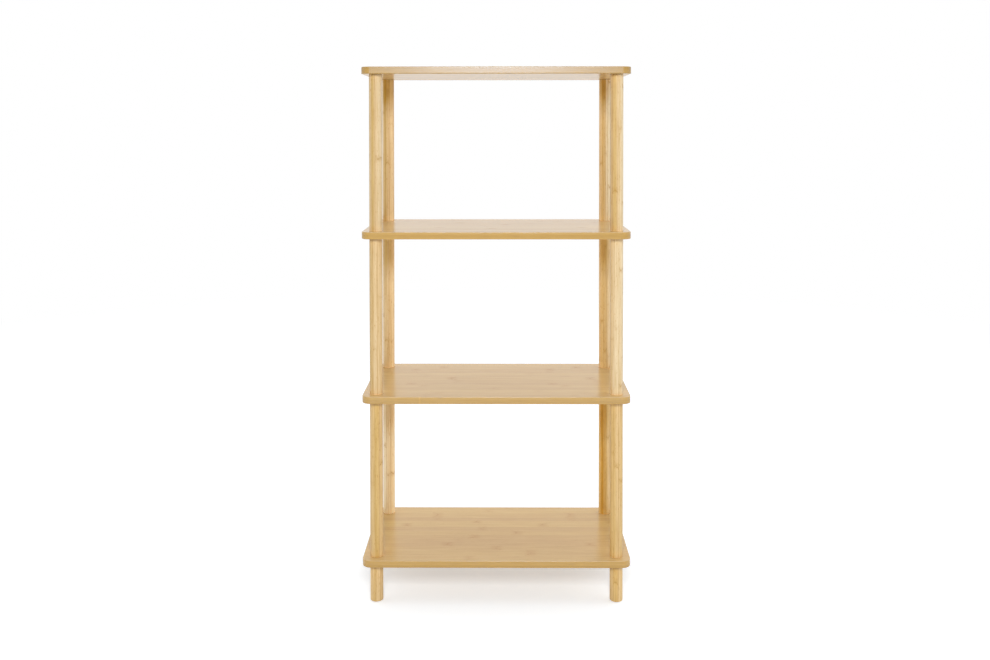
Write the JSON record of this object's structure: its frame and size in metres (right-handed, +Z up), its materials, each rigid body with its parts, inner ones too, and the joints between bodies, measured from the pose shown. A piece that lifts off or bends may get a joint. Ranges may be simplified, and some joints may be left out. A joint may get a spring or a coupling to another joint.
{
  "type": "shelving unit",
  "caption": "Open free-standing shelving unit: round-cornered bamboo-faced boards carried on round bamboo posts that screw together through the boards, on short round feet.",
  "frame": {"origin": "on the floor, under the middle of the unit", "axes": "+Z up, -Y towards the front, +X to the right seen from the front"},
  "size_m": [0.6, 0.3, 1.2],
  "materials": {
    "bamboo_board": "satin lacquer over flat-pressed bamboo strips with node marks",
    "bamboo_edge": "satin lacquer over fine lengthwise grain",
    "bamboo_post": "satin lacquer over upright laminated strips",
    "insert_zinc": "zinc plated",
    "stud_steel": "bright zinc plated",
    "glide_plastic": "matt brown moulded plastic"
  },
  "bodies": {
    "root": {"bottom_shelf_board": "bamboo_board", "lower_shelf_board": "bamboo_board", "upper_shelf_board": "bamboo_board", "top_shelf_board": "bamboo_board", "bottom_shelf_edge_band": "bamboo_edge", "lower_shelf_edge_band": "bamboo_edge", "upper_shelf_edge_band": "bamboo_edge", "top_shelf_edge_band": "bamboo_edge", "lower_post_front_left": "bamboo_post", "lower_post_front_right": "bamboo_post", "lower_post_back_left": "bamboo_post", "lower_post_back_right": "bamboo_post", "middle_post_front_left": "bamboo_post", "middle_post_front_right": "bamboo_post", "middle_post_back_left": "bamboo_post", "middle_post_back_right": "bamboo_post", "upper_post_front_left": "bamboo_post", "upper_post_front_right": "bamboo_post", "upper_post_back_left": "bamboo_post", "upper_post_back_right": "bamboo_post", "foot_front_left": "bamboo_post", "foot_front_right": "bamboo_post", "foot_back_left": "bamboo_post", "foot_back_right": "bamboo_post", "glide_front_left": "glide_plastic", "glide_front_right": "glide_plastic", "glide_back_left": "glide_plastic", "glide_back_right": "glide_plastic", "lower_post_insert_nuts": "insert_zinc", "middle_post_insert_nuts": "insert_zinc", "upper_post_insert_nuts": "insert_zinc", "foot_insert_nuts": "insert_zinc", "top_shelf_insert_nuts": "insert_zinc", "bottom_shelf_studs": "stud_steel", "lower_shelf_studs": "stud_steel", "upper_shelf_studs": "stud_steel", "top_shelf_studs": "stud_steel"}
  },
  "joints": []
}
